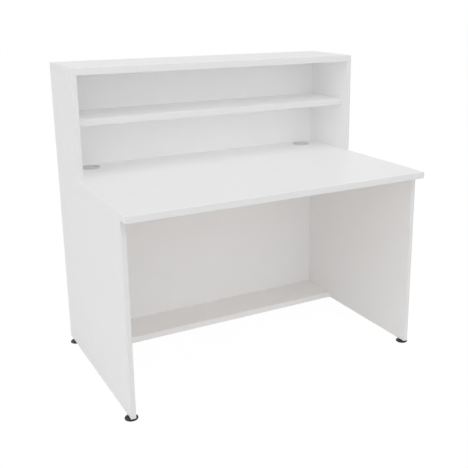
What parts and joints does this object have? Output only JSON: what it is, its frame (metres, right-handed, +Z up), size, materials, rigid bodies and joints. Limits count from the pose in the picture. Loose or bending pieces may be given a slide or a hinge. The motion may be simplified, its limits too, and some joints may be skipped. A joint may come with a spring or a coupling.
{
  "type": "reception desk",
  "caption": "White panel-ended reception desk with a raised counter over an open two-tier riser, a base shelf, cable ports and levelling feet.",
  "frame": {"origin": "on the floor, under the middle of the desk's plan", "axes": "+X along the desk to the user's right, +Y from the user towards the visitor, +Z up"},
  "size_m": [1.229, 0.8, 1.15],
  "materials": {
    "white_board": "satin white melamine",
    "beech_dowel": "bare beech",
    "zinc": "cast zinc, tumbled",
    "steel": "bright zinc plate",
    "grey_plastic": "fine moulded grain",
    "black_plastic": "fine moulded grain"
  },
  "bodies": {
    "desk": {"back_dowel_left_high": "beech_dowel", "back_dowel_left_low": "beech_dowel", "back_dowel_left_middle": "beech_dowel", "back_dowel_right_high": "beech_dowel", "back_dowel_right_low": "beech_dowel", "back_dowel_right_middle": "beech_dowel", "back_panel": "white_board", "base_shelf": "white_board", "base_shelf_bolt_left_back": "steel", "base_shelf_bolt_left_front": "steel", "base_shelf_bolt_right_back": "steel", "base_shelf_bolt_right_front": "steel", "base_shelf_cam_left_back": "zinc", "base_shelf_cam_left_front": "zinc", "base_shelf_cam_right_back": "zinc", "base_shelf_cam_right_front": "zinc", "counter_dowel_left_back": "beech_dowel", "counter_dowel_left_front": "beech_dowel", "counter_dowel_right_back": "beech_dowel", "counter_dowel_right_front": "beech_dowel", "counter_top": "white_board", "desktop": "white_board", "desktop_bolt_left_back": "steel", "desktop_bolt_left_front": "steel", "desktop_bolt_right_back": "steel", "desktop_bolt_right_front": "steel", "desktop_cam_left_back": "zinc", "desktop_cam_left_front": "zinc", "desktop_cam_right_back": "zinc", "desktop_cam_right_front": "zinc", "desktop_dowel_left": "beech_dowel", "desktop_dowel_right": "beech_dowel", "foot_insert_left_back": "zinc", "foot_insert_left_front": "zinc", "foot_insert_right_back": "zinc", "foot_insert_right_front": "zinc", "left_side_panel": "white_board", "port_sleeve_left": "grey_plastic", "port_sleeve_right": "grey_plastic", "right_side_panel": "white_board", "riser_shelf": "white_board", "riser_shelf_bolt_left_back": "steel", "riser_shelf_bolt_left_front": "steel", "riser_shelf_bolt_right_back": "steel", "riser_shelf_bolt_right_front": "steel", "riser_shelf_cam_left_back": "zinc", "riser_shelf_cam_left_front": "zinc", "riser_shelf_cam_right_back": "zinc", "riser_shelf_cam_right_front": "zinc"},
    "foot_left_front": {"foot_disc_left_front": "black_plastic"},
    "stud_left_front": {"foot_stud_left_front": "steel"},
    "foot_left_back": {"foot_disc_left_back": "black_plastic"},
    "stud_left_back": {"foot_stud_left_back": "steel"},
    "foot_right_front": {"foot_disc_right_front": "black_plastic"},
    "stud_right_front": {"foot_stud_right_front": "steel"},
    "foot_right_back": {"foot_disc_right_back": "black_plastic"},
    "stud_right_back": {"foot_stud_right_back": "steel"},
    "cap_left": {"port_cap_left": "grey_plastic"},
    "cap_right": {"port_cap_right": "grey_plastic"}
  },
  "joints": [
    {"name": "level_left_front", "type": "slide", "parent": "desk", "child": "foot_left_front", "axis": [0, 0, -1], "range_m": [0, 0.0125]},
    {"name": "turn_stud_left_front", "type": "hinge", "parent": "foot_left_front", "child": "stud_left_front", "pos_m": [-0.591, -0.325, 0.02], "axis": [0, 0, -1], "range_deg": [0, 2880]},
    {"name": "level_left_back", "type": "slide", "parent": "desk", "child": "foot_left_back", "axis": [0, 0, -1], "range_m": [0, 0.0125]},
    {"name": "turn_stud_left_back", "type": "hinge", "parent": "foot_left_back", "child": "stud_left_back", "pos_m": [-0.591, 0.35, 0.02], "axis": [0, 0, -1], "range_deg": [0, 2880]},
    {"name": "level_right_front", "type": "slide", "parent": "desk", "child": "foot_right_front", "axis": [0, 0, -1], "range_m": [0, 0.0125]},
    {"name": "turn_stud_right_front", "type": "hinge", "parent": "foot_right_front", "child": "stud_right_front", "pos_m": [0.591, -0.325, 0.02], "axis": [0, 0, -1], "range_deg": [0, 2880]},
    {"name": "level_right_back", "type": "slide", "parent": "desk", "child": "foot_right_back", "axis": [0, 0, -1], "range_m": [0, 0.0125]},
    {"name": "turn_stud_right_back", "type": "hinge", "parent": "foot_right_back", "child": "stud_right_back", "pos_m": [0.591, 0.35, 0.02], "axis": [0, 0, -1], "range_deg": [0, 2880]},
    {"name": "turn_cap_left", "type": "hinge", "parent": "desk", "child": "cap_left", "pos_m": [-0.49, 0.322, 0.741], "axis": [0, 0, 1], "continuous": true},
    {"name": "turn_cap_right", "type": "hinge", "parent": "desk", "child": "cap_right", "pos_m": [0.49, 0.322, 0.741], "axis": [0, 0, 1], "continuous": true}
  ],
  "couplings": [
    {"joint": "level_left_front", "follows": "turn_stud_left_front", "m_per_rad": 0.00019894},
    {"joint": "level_left_back", "follows": "turn_stud_left_back", "m_per_rad": 0.00019894},
    {"joint": "level_right_front", "follows": "turn_stud_right_front", "m_per_rad": 0.00019894},
    {"joint": "level_right_back", "follows": "turn_stud_right_back", "m_per_rad": 0.00019894}
  ]
}
